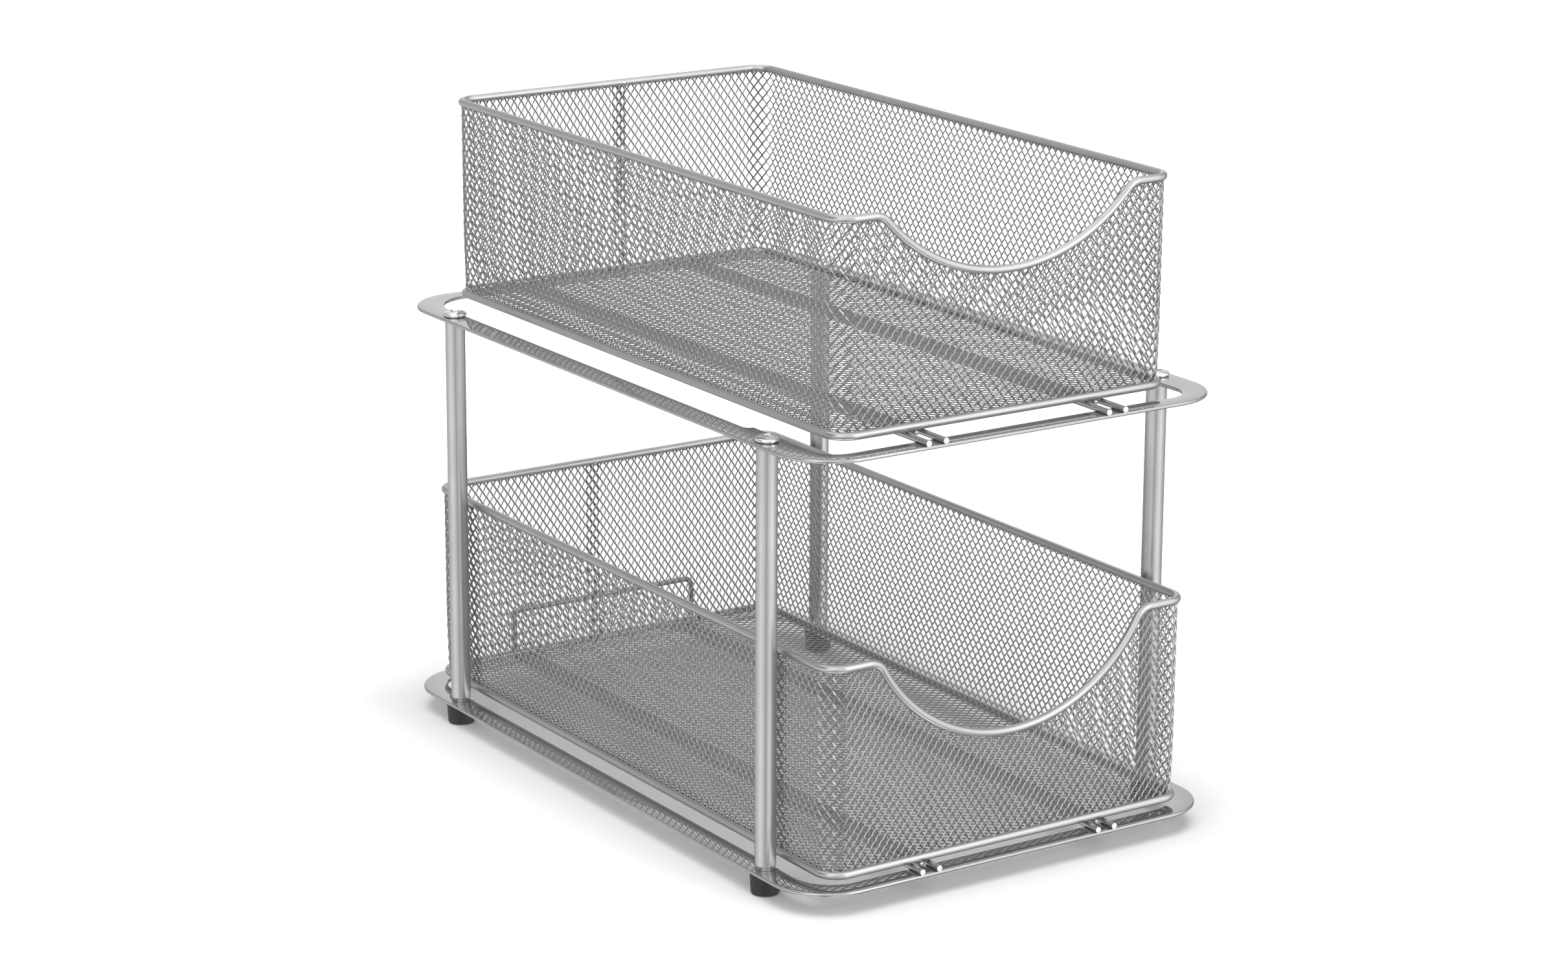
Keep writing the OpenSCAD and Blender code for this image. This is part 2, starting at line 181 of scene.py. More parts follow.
# The room: plain light all round, and white where it is seen straight. For mirrored rays its level follows the
# compass turn from straight behind the object, as a share of a full turn, and the height, from 0 straight down to 1
# straight up.
ROOM_LIGHT = 0.46
TOWARDS_VIEWER, VIEWERS_RIGHT = (-0.5572, -0.8304, 0.0), (0.8304, -0.5572, 0.0)
LOW_LEVELS = (
    (0.0, 0.42), (0.08, 0.40), (0.18, 0.58), (0.24, 0.72), (0.335, 1.06), (0.44, 0.75), (0.5, 0.30),
    (0.56, 0.80), (0.665, 1.15), (0.76, 0.70), (0.82, 0.46), (0.92, 0.20), (1.0, 0.34),
)
HIGH_LEVELS = (
    (0.0, 0.70), (0.03, 0.60), (0.08, 0.36), (0.17, 0.42), (0.25, 0.34), (0.35, 0.10), (0.43, 1.4), (0.5, 1.0),
    (0.58, 0.7), (0.66, 1.2), (0.76, 1.1), (0.84, 0.5), (0.90, 0.25), (0.96, 0.5), (1.0, 0.70),
)
TOP_LEVEL = 0.95
LOW_TO_HIGH, HIGH_TO_TOP = ((0.46, 0.0), (0.54, 1.0)), ((0.83, 0.0), (0.93, 1.0))
TOWARDS_FLOOR = ((0.0, 2.2), (0.03, 1.8), (0.07, 0.40), (0.14, 0.30), (0.29, 1.0))
LEVEL_SCALE = 1.5


def mixed(nodes, links, share, first, second):
    """A Mix node that goes from the colour first to second as share goes from 0 to 1, as its colour socket."""
    node = nodes.new("ShaderNodeMix")
    node.data_type = "RGBA"
    for number, value in ((0, share), (6, first), (7, second)):
        feed(links, node.inputs[number], value)
    return node.outputs[2]


def sky(nodes, links, colour, strength):
    """A Background shader of the given colour and strength, as its shader socket."""
    node = nodes.new("ShaderNodeBackground")
    feed(links, node.inputs["Color"], colour)
    feed(links, node.inputs["Strength"], strength)
    return node.outputs[0]


def either_sky(nodes, links, share, first, second):
    """A Mix Shader of two skies, as its shader socket."""
    node = nodes.new("ShaderNodeMixShader")
    for socket, value in zip(node.inputs, (share, first, second)):
        links.new(value, socket)
    return node.outputs[0]


world = bpy.data.worlds.new("studio_room")
world.use_nodes = True
bpy.context.scene.world = world
nodes, links = world.node_tree.nodes, world.node_tree.links
nodes.clear()
direction = nodes.new("ShaderNodeTexCoord").outputs["Generated"]
shares = []
for axis in (VIEWERS_RIGHT, TOWARDS_VIEWER, (0, 0, 1)):
    along_axis = nodes.new("ShaderNodeVectorMath")
    along_axis.operation = "DOT_PRODUCT"
    along_axis.inputs[1].default_value = axis
    links.new(direction, along_axis.inputs[0])
    shares.append(along_axis.outputs["Value"])
to_right, to_viewer, upward = shares
angle = linked_math(nodes, links, "ARCTAN2", to_right, to_viewer)
turn_share = linked_math(nodes, links, "MULTIPLY_ADD", angle, 0.5 / np.pi, 0.5)
height_share = linked_math(nodes, links, "MULTIPLY_ADD", upward, 0.5, 0.5)
low_light, high_light = (ramp(nodes, links, turn_share, levels) for levels in (LOW_LEVELS, HIGH_LEVELS))
walls = mixed(nodes, links, ramp(nodes, links, height_share, LOW_TO_HIGH), low_light, high_light)
top_light = (TOP_LEVEL, TOP_LEVEL, TOP_LEVEL, 1)
all_round = mixed(nodes, links, ramp(nodes, links, height_share, HIGH_TO_TOP), walls, top_light)
towards_floor = ramp(nodes, links, height_share, TOWARDS_FLOOR)
mirrored = sky(nodes, links, all_round, linked_math(nodes, links, "MULTIPLY", towards_floor, LEVEL_SCALE))
room = sky(nodes, links, (1, 1, 1, 1), ROOM_LIGHT)
backdrop = sky(nodes, links, (1, 1, 1, 1), 1.0)
ray = nodes.new("ShaderNodeLightPath").outputs
straight = linked_math(nodes, links, "MAXIMUM", ray["Is Camera Ray"], ray["Is Transmission Ray"])
bent_rays = either_sky(nodes, links, ray["Is Glossy Ray"], room, mirrored)
world_output = nodes.new("ShaderNodeOutputWorld")
links.new(either_sky(nodes, links, straight, bent_rays, backdrop), world_output.inputs["Surface"])


# The two shelf plates: frames cut from 2.2 mm sheet steel with rolled-over edges, sprayed with silver lacquer. Their
# side bands carry the posts and their front and rear bands the welded rails.
PLATE_W, PLATE_D, PLATE_T = 302.0, 481.0, 2.2
PLATE_CORNER = 37.0
SIDE_BAND, END_BAND = 16.0, 13.0
LOWER_WINDOW_CORNER, UPPER_WINDOW_CORNER, FRONT_WINDOW_CORNER = 25.0, 29.0, 16.0
STEP_WIDTH, STEP_Y = 4.0, -151.0
EDGE_ROUND = 0.9
FOOT_H = 13.0
LOWER_TOP, UPPER_TOP = 15.2, 273.2
FLAKE_SCALE, CLOUD_SCALE, PEEL_SCALE = 3200.0, 26.0, 620.0
CLOUD_RANGE, CLOUD_LIGHT, CLOUD_ROUGHNESS = (0.3, 0.7), (0.95, 1.04), (1.12, 0.9)


def add_piece(name, points, polygons, material, body, slot, *replaced, soft_edge=35.0):
    """One surface of the object. points are (n, 3) in millimetres, polygons is a list of arrays of corner numbers,
    one array for each number of corners. Edges sharper than soft_edge degrees stay crisp."""
    mesh = bpy.data.meshes.new(name)
    corners = np.concatenate([np.asarray(p).ravel() for p in polygons]).astype(np.int32)
    sizes = np.concatenate([np.full(len(p), np.shape(p)[1]) for p in polygons]).astype(np.int32)
    mesh.vertices.add(len(points))
    mesh.vertices.foreach_set("co", (np.asarray(points) / 1000.0).astype(np.float32).ravel())
    mesh.loops.add(len(corners))
    mesh.loops.foreach_set("vertex_index", corners)
    mesh.polygons.add(len(sizes))
    mesh.polygons.foreach_set("loop_start", (np.cumsum(sizes) - sizes).astype(np.int32))
    mesh.polygons.foreach_set("use_smooth", np.full(len(sizes), soft_edge > 0))
    mesh.update(calc_edges=True)
    if soft_edge > 0:
        mesh.set_sharp_from_angle(angle=np.radians(soft_edge))
    mesh.materials.append(material)
    piece = bpy.data.objects.new(name, mesh)
    bpy.context.scene.collection.objects.link(piece)
    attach(piece, body)
    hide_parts(*replaced)


def quad_sheet(rows, columns, close_rows, close_columns):
    """Corner numbers of the quads of a grid of points, where one more row or column closes it into a ring."""
    i = np.arange(rows if close_rows else rows - 1)[:, None]
    j = np.arange(columns if close_columns else columns - 1)[None, :]
    i_next, j_next = (i + 1) % rows, (j + 1) % columns
    quads = np.stack([i * columns + j, i * columns + j_next, i_next * columns + j_next, i_next * columns + j], -1)
    return quads.reshape(-1, 4)


def corner_line(half_w, half_d, corner, steps=18):
    """A rectangle with round corners as (points, outward normals), counter-clockwise from the right side's middle:
    each corner point is its corner's centre plus the radius times the normal."""
    turns = np.linspace(0, np.pi / 2, steps + 1)
    angle = np.concatenate([turns + quarter * np.pi / 2 for quarter in range(4)])
    centre_x = np.repeat([1, -1, -1, 1], steps + 1) * (half_w - corner)
    centre_y = np.repeat([1, 1, -1, -1], steps + 1) * (half_d - corner)
    normal = np.stack([np.cos(angle), np.sin(angle)], 1)
    return np.stack([centre_x, centre_y], 1) + corner * normal, normal


NOISE, VORONOI = "ShaderNodeTexNoise", "ShaderNodeTexVoronoi"


def texture(nodes, links, kind, scale, detail=None):
    """The outputs of a Noise or Voronoi texture on Object coordinates, with about scale cells to the metre."""
    node = nodes.new(kind)
    node.inputs["Scale"].default_value = scale
    if detail is not None:
        node.inputs["Detail"].default_value = detail
    links.new(nodes.new("ShaderNodeTexCoord").outputs["Object"], node.inputs["Vector"])
    return node.outputs


def spread(nodes, links, value, low, high, start=0.0, end=1.0):
    """A Map Range node that carries value from start...end to low...high, as its output socket."""
    node = nodes.new("ShaderNodeMapRange")
    for name, number in (("From Min", start), ("From Max", end), ("To Min", low), ("To Max", high)):
        node.inputs[name].default_value = number
    links.new(value, node.inputs["Value"])
    return node.outputs[0]


def relief(nodes, links, height, depth):
    """A Bump node whose relief is height times depth in metres, as its normal socket."""
    node = nodes.new("ShaderNodeBump")
    node.inputs["Strength"].default_value = 1.0
    node.inputs["Distance"].default_value = depth
    links.new(height, node.inputs["Height"])
    return node.outputs["Normal"]


def lacquer_group():
    """Sprayed silver lacquer: fine bright flakes, soft clouds from the spraying, and the slight orange peel of its
    surface. Colour is the silver times flakes and clouds, and Height is the peel in metres."""
    group = bpy.data.node_groups.new("silver lacquer", "ShaderNodeTree")
    group.interface.new_socket("Silver", in_out="INPUT", socket_type="NodeSocketColor")
    for name in ("Flake", "Roughness", "Peel"):
        group.interface.new_socket(name, in_out="INPUT", socket_type="NodeSocketFloat")
    group.interface.new_socket("Colour", in_out="OUTPUT", socket_type="NodeSocketColor")
    for name in ("Roughness", "Height"):
        group.interface.new_socket(name, in_out="OUTPUT", socket_type="NodeSocketFloat")
    nodes, links = group.nodes, group.links
    given, made = nodes.new("NodeGroupInput").outputs, nodes.new("NodeGroupOutput").inputs
    flakes = texture(nodes, links, VORONOI, FLAKE_SCALE)["Color"]
    clouds = texture(nodes, links, NOISE, CLOUD_SCALE, detail=3.0)["Fac"]
    peel = texture(nodes, links, NOISE, PEEL_SCALE, detail=1.5)["Fac"]
    flake_light = spread(nodes, links, flakes, low=-1.0, high=1.0)
    flake_share = linked_math(nodes, links, "MULTIPLY_ADD", flake_light, given["Flake"], 1.0)
    cloud_share = spread(nodes, links, clouds, *CLOUD_LIGHT, *CLOUD_RANGE)
    silver = nodes.new("ShaderNodeVectorMath")
    silver.operation = "SCALE"
    links.new(given["Silver"], silver.inputs[0])
    links.new(linked_math(nodes, links, "MULTIPLY", flake_share, cloud_share), silver.inputs["Scale"])
    rough_share = spread(nodes, links, clouds, *CLOUD_ROUGHNESS, *CLOUD_RANGE)
    links.new(silver.outputs[0], made["Colour"])
    links.new(linked_math(nodes, links, "MULTIPLY", given["Roughness"], rough_share), made["Roughness"])
    links.new(linked_math(nodes, links, "MULTIPLY", peel, given["Peel"]), made["Height"])
    return group


lacquer = lacquer_group()


def lacquered(name, silver, metallic, roughness, flake, peel):
    """A material of silver lacquer: metallic is how much of the colour is flake, peel its relief in metres."""
    material, nodes, links, shader = new_material(name)
    coat = nodes.new("ShaderNodeGroup")
    coat.node_tree = lacquer
    for socket, value in (("Silver", (*silver, 1)), ("Flake", flake), ("Roughness", roughness), ("Peel", peel)):
        coat.inputs[socket].default_value = value
    links.new(coat.outputs["Colour"], shader.inputs["Base Color"])
    links.new(coat.outputs["Roughness"], shader.inputs["Roughness"])
    links.new(relief(nodes, links, coat.outputs["Height"], depth=1.0), shader.inputs["Normal"])
    shader.inputs["Metallic"].default_value = metallic
    return material


plate_paint = lacquered("plate_paint", (0.44, 0.442, 0.445), metallic=0.9, roughness=0.07, flake=0.02, peel=8e-7)


def plate_band(outer, outer_normal, inner, inner_normal, bottom):
    """A flat band between two closed lines, as (points, quads). The profile runs round it: up the outer edge on a
    quarter circle, across the top, down the inner edge and back under the band."""
    half = PLATE_T / 2
    turn = np.linspace(-np.pi / 2, np.pi / 2, 11)
    push = EDGE_ROUND * (np.cos(turn) - 1.0)
    rise = half + np.sign(turn) * (half - EDGE_ROUND) * (np.abs(turn) > 1e-6) + EDGE_ROUND * np.sin(turn)
    outer_ring = outer[:, None] + push[None, :, None] * outer_normal[:, None]
    inner_ring = inner[:, None] - push[None, ::-1, None] * inner_normal[:, None]
    flat = np.concatenate([outer_ring, inner_ring], 1)
    height = bottom + np.concatenate([rise, rise[::-1]])
    points = np.concatenate([flat, np.broadcast_to(height[None, :, None], (*flat.shape[:2], 1))], 2)
    return points.reshape(-1, 3), quad_sheet(flat.shape[0], flat.shape[1], True, True)[:, ::-1]


half_w, half_d = PLATE_W / 2, PLATE_D / 2
window_x, window_y = half_w - SIDE_BAND, half_d - END_BAND
outline, outline_normal = corner_line(half_w, half_d, PLATE_CORNER)
window, window_normal = corner_line(window_x, window_y, LOWER_WINDOW_CORNER)
points, quads = plate_band(outline, outline_normal, window, window_normal, FOOT_H)
add_piece("lower_plate_lacquered", points, [quads], plate_paint, "frame", "plate_paint", "lower_plate")

# The upper plate's window narrows by 4 mm on each side at the front, in a small step behind the front posts.
rear, rear_normal = corner_line(window_x, window_y, UPPER_WINDOW_CORNER)
front, front_normal = corner_line(window_x - STEP_WIDTH, window_y, FRONT_WINDOW_CORNER)
quarter = len(rear) // 4
step_turn = np.linspace(0, np.pi / 2, 7)[:, None]
step_line = np.concatenate([-np.cos(step_turn), -np.sin(step_turn)], 1)
left_step = STEP_WIDTH * step_line + [STEP_WIDTH - window_x, STEP_Y + STEP_WIDTH]
right_step = (left_step * [-1, 1])[::-1]
window = np.concatenate([rear[: 2 * quarter], left_step, front[2 * quarter :], right_step])
window_normal = np.concatenate(
    [rear_normal[: 2 * quarter], step_line, front_normal[2 * quarter :], (step_line * [-1, 1])[::-1]]
)
left_edge = np.stack([np.full(len(left_step), -half_w), left_step[:, 1]], 1)
right_edge = (left_edge * [-1, 1])[::-1]
side_normal = np.tile([-1.0, 0.0], (len(left_step), 1))
edge = np.concatenate([outline[: 2 * quarter], left_edge, outline[2 * quarter :], right_edge])
edge_normal = np.concatenate(
    [outline_normal[: 2 * quarter], side_normal, outline_normal[2 * quarter :], -side_normal]
)
points, quads = plate_band(edge, edge_normal, window, window_normal, UPPER_TOP - PLATE_T)
add_piece("upper_plate_lacquered", points, [quads], plate_paint, "frame", "plate_paint", "upper_plate")


# The four posts: thin steel tubes of 12.7 mm, lacquered satin silver, with the lower end swaged in where it stands
# on the lower plate. Threaded plugs inside both ends take the screws and the feet's studs.
POST_X, POST_Y = 141.0, 181.0
POST_D, POST_WALL, POST_H = 12.7, 1.0, 255.8
SWAGE_H, SWAGE_IN, SWAGE_START = 3.0, 0.4, 0.6
LOWER_LIP, UPPER_LIP = 0.25, 0.2
AT_POSTS = (("front_left", -1, -1), ("front_right", 1, -1), ("rear_left", -1, 1), ("rear_right", 1, 1))
SILVER = (0.47, 0.472, 0.475)


def turned(radius, height, centre, sides=72, close=True):
    """A turned shape as (points, polygons): the profile of radius and height goes round an upright axis through
    centre. A closed profile runs back into itself, and an open one is capped flat at both ends."""
    angle = np.linspace(0, 2 * np.pi, sides, endpoint=False)[:, None]
    across = np.broadcast_to(np.asarray(radius, float), (sides, len(height)))
    up = np.broadcast_to(centre[2] + np.asarray(height, float), across.shape)
    points = np.stack([centre[0] + across * np.cos(angle), centre[1] + across * np.sin(angle), up], -1)
    polygons = [quad_sheet(sides, len(height), True, close)[:, ::-1]]
    if not close:
        ring = np.arange(sides) * len(height)
        polygons += [ring[None, ::-1], ring[None, :] + len(height) - 1]
    return points.reshape(-1, 3), polygons


tube_paint = lacquered("tube_paint", SILVER, metallic=0.85, roughness=0.30, flake=0.05, peel=3e-6)
r_out, r_in = POST_D / 2, POST_D / 2 - POST_WALL
r_swaged = r_out - SWAGE_IN
swage = np.linspace(0, np.pi, 9)
swage_radius = r_out - SWAGE_IN * (1 + np.cos(swage)) / 2
swage_height = SWAGE_START + (SWAGE_H - SWAGE_START) * swage / np.pi
post_radius = [r_in, r_swaged - LOWER_LIP, r_swaged, *swage_radius, r_out, r_out - UPPER_LIP, r_in]
post_height = [0, 0, LOWER_LIP, *swage_height, POST_H - UPPER_LIP, POST_H, POST_H]
for name, x, y in AT_POSTS:
    points, polygons = turned(post_radius, post_height, (x * POST_X, y * POST_Y, LOWER_TOP))
    add_piece(f"post_tube_{name}", points, polygons, tube_paint, "frame", "tube_paint", f"post_{name}")


# The screws on top of the posts: low domed heads with a rounded edge and a hex socket, chrome plated. Each shank
# goes down through the upper plate into its post.
CAP_D, CAP_H, CAP_EDGE = 15.0, 3.5, 1.3
EDGE_FROM, EDGE_TO = -62.0, 72.0
SOCKET_W, SOCKET_H, SOCKET_LAND = 5.0, 2.0, 0.75
# The socket's steps from the top down: its mouth, its lead-in, the round at its floor, and the drill's tip below.
MOUTH_OUT, MOUTH_DOWN, LEAD_IN, FLOOR_ROUND, DRILL_TIP = 0.5, 0.12, 0.6, 0.3, 0.5
FLOOR_SHARE, TIP_SHARE = 0.9, 0.12
CROWN_FULLNESS, LAND_DOWN, UNDERSIDE_IN = 0.45, 0.05, 0.3
THREAD_D, THREAD_L, SHANK_TIP_R = 6.0, 11.0, 0.3
SCREW_SIDES = 96


def tint(nodes, links, value, dark, light, start=0.0, end=1.0):
    """A colour ramp from dark to light as value goes from start to end, as its colour socket."""
    node = nodes.new("ShaderNodeValToRGB")
    for element, place, colour in zip(node.color_ramp.elements, (start, end), (dark, light)):
        element.position = place
        element.color = (*colour, 1)
    links.new(value, node.inputs[0])
    return node.outputs["Color"]


def gathered(shapes):
    """Shapes of one kind as one (points, polygons): corner numbers grow by the count of the points before them."""
    starts = np.cumsum([0, *(len(points) for points, _ in shapes)])
    kinds = zip(*(polygons for _, polygons in shapes))
    polygons = [np.concatenate([polygon + start for polygon, start in zip(kind, starts)]) for kind in kinds]
    return np.concatenate([points for points, _ in shapes]), polygons


chrome, nodes, links, shader = new_material("chrome")
haze = texture(nodes, links, NOISE, scale=900.0, detail=3.0)["Fac"]
chrome_colour = tint(nodes, links, haze, dark=(0.74, 0.74, 0.75), light=(0.86, 0.86, 0.87))
links.new(chrome_colour, shader.inputs["Base Color"])
links.new(spread(nodes, links, haze, low=0.05, high=0.10), shader.inputs["Roughness"])
links.new(relief(nodes, links, haze, depth=1.2e-6), shader.inputs["Normal"])
shader.inputs["Metallic"].default_value = 1.0

angle = np.linspace(0, 2 * np.pi, SCREW_SIDES, endpoint=False)
hexagon = SOCKET_W / 2 / np.cos((angle + np.pi / 6) % (np.pi / 3) - np.pi / 6)
edge_turn = np.radians(np.linspace(EDGE_FROM, EDGE_TO, 15))
edge_r = CAP_D / 2 - CAP_EDGE + CAP_EDGE * np.cos(edge_turn)
edge_z = CAP_EDGE + CAP_EDGE * np.sin(edge_turn)
crown = np.linspace(0, 1, 9)[1:]
top_z = CAP_H - LAND_DOWN
floor_z = top_z - SOCKET_H
crown_r = edge_r[-1] + (SOCKET_W / 2 + SOCKET_LAND - edge_r[-1]) * crown
crown_z = edge_z[-1] + (top_z - edge_z[-1]) * crown * (1 + CROWN_FULLNESS - CROWN_FULLNESS * crown)
shank_z = -PLATE_T - THREAD_L
shank_r = [SHANK_TIP_R, THREAD_D / 2, THREAD_D / 2, edge_r[0] - UNDERSIDE_IN]
ring_r = [*shank_r, *edge_r, *crown_r, SOCKET_W / 2 + MOUTH_OUT]
ring_z = [shank_z, shank_z, 0, 0, *edge_z, *crown_z, top_z - MOUTH_DOWN]
socket_r = np.stack([hexagon, hexagon, hexagon * FLOOR_SHARE, hexagon * TIP_SHARE], 1)
socket_z = [top_z - LEAD_IN, floor_z + FLOOR_ROUND, floor_z, floor_z - DRILL_TIP]
screw_r = np.concatenate([np.broadcast_to(ring_r, (SCREW_SIDES, len(ring_r))), socket_r], 1)
screw_z = [*ring_z, *socket_z]
places = [(x * POST_X, y * POST_Y, UPPER_TOP) for _, x, y in AT_POSTS]
points, polygons = gathered([turned(screw_r, screw_z, place, SCREW_SIDES, close=False) for place in places])
add_piece("cap_screws_chromed", points, polygons, chrome, "frame", "chrome", "cap_screws", soft_edge=28.0)

# The threaded plugs in the posts and the studs of the feet are zinc plated steel, and both are hidden in use.
zinc, nodes, links, shader = new_material("zinc")
spangle = texture(nodes, links, VORONOI, scale=700.0)
zinc_colour = tint(nodes, links, spangle["Color"], dark=(0.50, 0.52, 0.55), light=(0.66, 0.68, 0.70))
links.new(zinc_colour, shader.inputs["Base Color"])
links.new(spread(nodes, links, spangle["Distance"], low=0.28, high=0.45), shader.inputs["Roughness"])
shader.inputs["Metallic"].default_value = 1.0
for name in ("post_inserts", "foot_studs"):
    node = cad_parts[name]
    node.data.materials.clear()
    node.data.materials.append(zinc)


# The four feet: black rubber, tapered to the floor with a rounded lower edge, moulded round the studs' flanges.
FOOT_TOP_D, FOOT_BOTTOM_D, FOOT_EDGE = 18.6, 17.3, 1.5
SHOULDER_H, SHOULDER_TOP, SHOULDER_IN, TOP_IN = 11.4, 12.2, 0.1, 0.3
FLANGE_R, FLANGE_H, STUD_HOLE_R = 6.05, 11.0, 0.4
rubber, nodes, links, shader = new_material("rubber")
grain = texture(nodes, links, NOISE, scale=1500.0, detail=4.0)["Fac"]
bloom = texture(nodes, links, NOISE, scale=90.0)["Fac"]
rubber_colour = tint(nodes, links, bloom, (0.008, 0.008, 0.009), (0.022, 0.022, 0.023), start=0.35, end=0.75)
links.new(rubber_colour, shader.inputs["Base Color"])
links.new(spread(nodes, links, grain, low=0.38, high=0.62), shader.inputs["Roughness"])
links.new(relief(nodes, links, grain, depth=3e-5), shader.inputs["Normal"])

round_turn = np.linspace(-np.pi / 2, 0, 8)
edge_r = FOOT_BOTTOM_D / 2 - FOOT_EDGE + FOOT_EDGE * np.cos(round_turn)
edge_z = FOOT_EDGE + FOOT_EDGE * np.sin(round_turn)
top_r = FOOT_TOP_D / 2
shoulder_r = [top_r - SHOULDER_IN, top_r, top_r - TOP_IN]
foot_radius = [STUD_HOLE_R, *edge_r, *shoulder_r, FLANGE_R, FLANGE_R, STUD_HOLE_R]
foot_height = [0, *edge_z, SHOULDER_H, SHOULDER_TOP, FOOT_H, FOOT_H, FLANGE_H, FLANGE_H]
for name, x, y in AT_POSTS:
    points, polygons = turned(foot_radius, foot_height, (x * POST_X, y * POST_Y, 0), close=False)
    add_piece(f"foot_rubber_{name}", points, polygons, rubber, "frame", "rubber", f"foot_{name}")


# The rails: straight 3.8 mm wires along both plates in two pairs, cut off square and welded to the front and rear
# bands. On the lower plate the outer pair turns up at the rear into the hoop that stops the basket.
RAIL_D, RAIL_GAUGE, RAIL_PITCH = 3.8, 128.8, 12.0
WELD = 0.3
STOP_H, STOP_BEND = 34.5, 5.7
CUT_BEVEL = 0.3
rail_z = RAIL_D / 2 - WELD
stop_y = PLATE_D / 2 - END_BAND / 2
outer_x, inner_x = RAIL_GAUGE / 2 + RAIL_PITCH / 2, RAIL_GAUGE / 2 - RAIL_PITCH / 2


def wire(path, radius, reference, closed=False, sides=24):
    """A round wire along a path, as (points, polygons). Each point is the path's point plus the radius times the
    cosine of the angle along the reference direction, made square to the path, plus the radius times the sine along
    the direction square to both. Ends are capped flat."""
    path = np.asarray(path, float)
    if closed:
        tangent = np.roll(path, -1, 0) - np.roll(path, 1, 0)
    else:
        tangent = np.gradient(path, axis=0)
    tangent = tangent / np.linalg.norm(tangent, axis=1, keepdims=True)
    side = np.broadcast_to(np.asarray(reference, float), path.shape)
    side = side - (side * tangent).sum(1, keepdims=True) * tangent
    side = side / np.linalg.norm(side, axis=1, keepdims=True)
    other = np.cross(tangent, side)
    angle = np.linspace(0, 2 * np.pi, sides, endpoint=False)[None, :, None]
    spokes = np.cos(angle) * side[:, None] + np.sin(angle) * other[:, None]
    points = path[:, None] + np.broadcast_to(radius, len(path))[:, None, None] * spokes
    polygons = [quad_sheet(len(path), sides, closed, True)]
    if not closed:
        ring = np.arange(sides)
        polygons += [ring[None, ::-1], ring[None, :] + (len(path) - 1) * sides]
    return points.reshape(-1, 3), polygons


def line_at(x, y, z):
    """A straight path along y at the place x, z."""
    return np.stack([np.full(len(y), x), y, np.full(len(y), z)], 1)


rail_wire = lacquered("rail_wire", SILVER, metallic=0.9, roughness=0.22, flake=0.05, peel=3e-6)
along = np.linspace(CUT_BEVEL, PLATE_D - CUT_BEVEL, 7) - PLATE_D / 2
for name, node, x, top in (
    ("lower_left", "lower_rail_left", -inner_x, LOWER_TOP),
    ("lower_right", "lower_rail_right", inner_x, LOWER_TOP),
    ("upper_left_outer", "upper_rail_left_outer", -outer_x, UPPER_TOP),
    ("upper_left_inner", "upper_rail_left_inner", -inner_x, UPPER_TOP),
    ("upper_right_inner", "upper_rail_right_inner", inner_x, UPPER_TOP),
    ("upper_right_outer", "upper_rail_right_outer", outer_x, UPPER_TOP),
):
    points, polygons = wire(line_at(x, along, top + rail_z), RAIL_D / 2, (1, 0, 0))
    add_piece(f"rail_wire_{name}", points, polygons, rail_wire, "frame", "rail_wire", node)

bend = np.linspace(0, np.pi / 2, 13)
rise, run = STOP_BEND * (1 - np.cos(bend)), STOP_BEND * np.sin(bend)
front_run = line_at(outer_x, [CUT_BEVEL - PLATE_D / 2, 0], rail_z)
up_bend = np.stack([np.full(len(bend), outer_x), stop_y - STOP_BEND + run, rail_z + rise], 1)
in_bend = np.stack([outer_x - rise, np.full(len(bend), stop_y), STOP_H - STOP_BEND + run], 1)
half_wire = np.concatenate([front_run, up_bend, in_bend])
path = np.concatenate([half_wire, half_wire[::-1] * [-1, 1, 1]]) + [0, 0, LOWER_TOP]
points, polygons = wire(path, RAIL_D / 2, (0.6, 0.8, 0))
add_piece("rail_wire_and_stop_hoop", points, polygons, rail_wire, "frame", "rail_wire", "lower_outer_rails_and_stop")

# The rails' ends, with a small bevel round them, coloured much lighter than the lacquer. Each is a short sleeve on
# the wire that narrows to the flat cut.
cut_steel, nodes, links, shader = new_material("cut_steel")
tear = texture(nodes, links, NOISE, scale=1400.0, detail=3.0)["Fac"]
cut_colour = tint(nodes, links, tear, (0.66, 0.66, 0.67), (0.93, 0.93, 0.94), start=0.35, end=0.6)
links.new(cut_colour, shader.inputs["Base Color"])
links.new(spread(nodes, links, tear, low=0.5, high=0.3), shader.inputs["Roughness"])
links.new(relief(nodes, links, tear, depth=4e-5), shader.inputs["Normal"])
shader.inputs["Metallic"].default_value = 0.7

SLEEVE, END_SHARE = 1.2, 0.84
rail_ends = [(x, top, end) for x in (-inner_x, inner_x) for top in (LOWER_TOP, UPPER_TOP) for end in (-1, 1)]
rail_ends += [(x, UPPER_TOP, end) for x in (-outer_x, outer_x) for end in (-1, 1)]
rail_ends += [(x, LOWER_TOP, -1) for x in (-outer_x, outer_x)]
end_y = PLATE_D / 2 - np.array([SLEEVE * CUT_BEVEL, CUT_BEVEL, 0.0])
end_radius = np.array([1.0, 1.0, END_SHARE]) * RAIL_D / 2
end_lines = [line_at(x, end * end_y, top + rail_z) for x, top, end in rail_ends]
points, polygons = gathered([wire(line, end_radius, (1, 0, 0)) for line in end_lines])
rail_nodes = [f"upper_rail_{side}_{row}" for side in ("left", "right") for row in ("inner", "outer")]
rail_nodes += ["lower_rail_left", "lower_rail_right", "lower_outer_rails_and_stop"]
add_piece("rail_cut_ends", points, polygons, cut_steel, "frame", "rail_wire", *rail_nodes)


